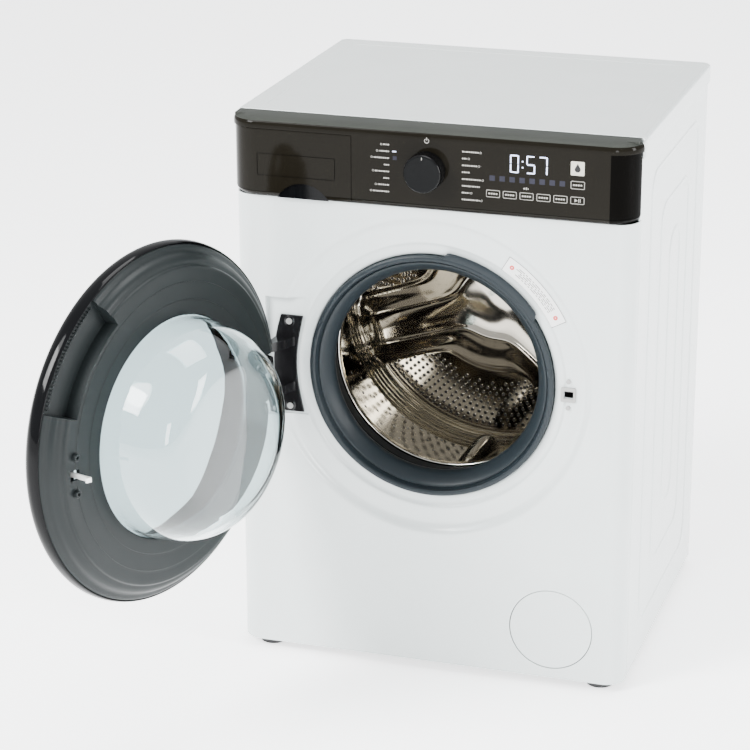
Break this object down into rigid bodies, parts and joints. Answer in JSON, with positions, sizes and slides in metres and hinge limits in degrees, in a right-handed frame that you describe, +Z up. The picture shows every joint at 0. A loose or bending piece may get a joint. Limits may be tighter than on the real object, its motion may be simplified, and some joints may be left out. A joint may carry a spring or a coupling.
{
  "type": "front load washing machine",
  "caption": "Front loading washing machine with its round glass door open, a dark control fascia, a stainless drum on a sprung tub, and adjustable feet.",
  "frame": {"origin": "on the floor, midway between the four feet", "axes": "+X to the right seen from the front, +Y from the front to the back, +Z up"},
  "size_m": [0.7059, 1.0686, 0.84],
  "materials": {
    "white_enamel": "satin",
    "lid_white": "satin",
    "galvanised": "matt",
    "base_grey": "satin",
    "foot_rubber": "matt",
    "zinc_steel": "satin",
    "fascia_black": "gloss",
    "display_smoke": "gloss",
    "board_green": "matt",
    "pale_plastic": "satin",
    "grey_plastic": "satin",
    "hose_rubber": "matt",
    "black_plastic": "satin",
    "lock_plastic": "matt",
    "gasket_rubber": "satin",
    "tub_plastic": "matt",
    "concrete": "rough",
    "stainless": "polished",
    "cast_aluminium": "cast",
    "motor_steel": "satin",
    "door_black": "gloss",
    "door_grey": "satin",
    "clear_glass": "gloss",
    "clear_plastic": "gloss",
    "chromed_steel": "polished"
  },
  "bodies": {
    "cabinet": {"left_side_panel": "white_enamel", "right_side_panel": "white_enamel", "front_panel": "white_enamel", "rear_panel": "galvanised", "rear_service_cover": "galvanised", "base_tray": "base_grey", "feet": "foot_rubber", "foot_lock_nuts": "zinc_steel", "top_cover": "lid_white", "top_braces": "galvanised", "control_fascia": "fascia_black", "display_window": "display_smoke", "control_board": "board_green", "dispenser_housing": "pale_plastic", "inlet_valve": "pale_plastic", "inlet_hose": "hose_rubber", "dispenser_hose": "hose_rubber", "drain_hose": "grey_plastic", "sump_hose": "hose_rubber", "drain_pump": "pale_plastic", "mains_filter": "black_plastic", "hinge_bracket": "black_plastic", "hinge_pin": "zinc_steel", "panel_screws": "zinc_steel", "door_lock": "lock_plastic", "lock_plate": "zinc_steel", "gasket_clamp": "zinc_steel", "door_gasket": "gasket_rubber", "damper_cylinders": "black_plastic", "suspension_springs": "zinc_steel"},
    "tub": {"tub_front": "tub_plastic", "tub_rear": "tub_plastic", "tub_seal": "hose_rubber", "counterweight_top": "concrete", "counterweights_front": "concrete", "heater": "stainless", "motor": "motor_steel", "bearings": "zinc_steel", "drive_belt": "hose_rubber", "damper_rods": "zinc_steel"},
    "drum": {"drum_shell": "stainless", "drum_front": "stainless", "drum_back": "stainless", "drum_lifters": "stainless", "drum_spider": "cast_aluminium", "drum_shaft": "zinc_steel", "drum_pulley": "cast_aluminium"},
    "motor_rotor": {"motor_pulley": "zinc_steel"},
    "door": {"door_outer_ring": "door_black", "door_outer_window": "clear_plastic", "door_inner_ring": "door_grey", "door_glass": "clear_glass", "door_hinge_plate": "zinc_steel"},
    "latch": {"latch_hook": "chromed_steel"},
    "drawer": {"drawer_front": "fascia_black", "detergent_drawer": "pale_plastic"},
    "knob": {"program_knob": "black_plastic"},
    "hatch": {"filter_hatch": "white_enamel"},
    "filter": {"pump_filter": "black_plastic"},
    "impeller": {"pump_impeller": "pale_plastic"}
  },
  "joints": [
    {"name": "tub_bounce", "type": "slide", "parent": "cabinet", "child": "tub", "axis": [0, 0, 1], "range_m": [-0.008, 0.008], "stiffness_N_per_m": 9000, "springref_m": 0.05, "deforming": ["suspension_springs", "door_gasket", "sump_hose"]},
    {"name": "drum_spin", "type": "hinge", "parent": "tub", "child": "drum", "pos_m": [0, 0.044, 0.466], "axis": [0, 1, 0], "continuous": true},
    {"name": "motor_spin", "type": "hinge", "parent": "tub", "child": "motor_rotor", "pos_m": [-0.112, 0.094, 0.152], "axis": [0, 1, 0], "continuous": true},
    {"name": "door_swing", "type": "hinge", "parent": "cabinet", "child": "door", "pos_m": [-0.243, -0.302, 0.466], "axis": [0, 0, 1], "range_deg": [-17, 108]},
    {"name": "latch_turn", "type": "hinge", "parent": "door", "child": "latch", "pos_m": [-0.35322, -0.7383, 0.461], "axis": [0, 0, 1], "range_deg": [0, 8], "stiffness_Nm_per_rad": 0.4},
    {"name": "drawer_slide", "type": "slide", "parent": "cabinet", "child": "drawer", "axis": [0, -1, 0], "range_m": [0, 0.2]},
    {"name": "program_turn", "type": "hinge", "parent": "cabinet", "child": "knob", "pos_m": [-0.002, -0.266, 0.781], "axis": [0, -1, 0], "continuous": true},
    {"name": "hatch_pull", "type": "slide", "parent": "cabinet", "child": "hatch", "axis": [0, -1, 0], "range_m": [0, 0.03]},
    {"name": "filter_turn", "type": "hinge", "parent": "cabinet", "child": "filter", "pos_m": [0.189, -0.206, 0.092], "axis": [0, -1, 0], "range_deg": [0, 180]},
    {"name": "impeller_spin", "type": "hinge", "parent": "cabinet", "child": "impeller", "pos_m": [0.189, -0.126, 0.092], "axis": [0, 1, 0], "continuous": true}
  ],
  "couplings": [
    {"joint": "motor_spin", "follows": "drum_spin", "ratio": 10.071}
  ]
}
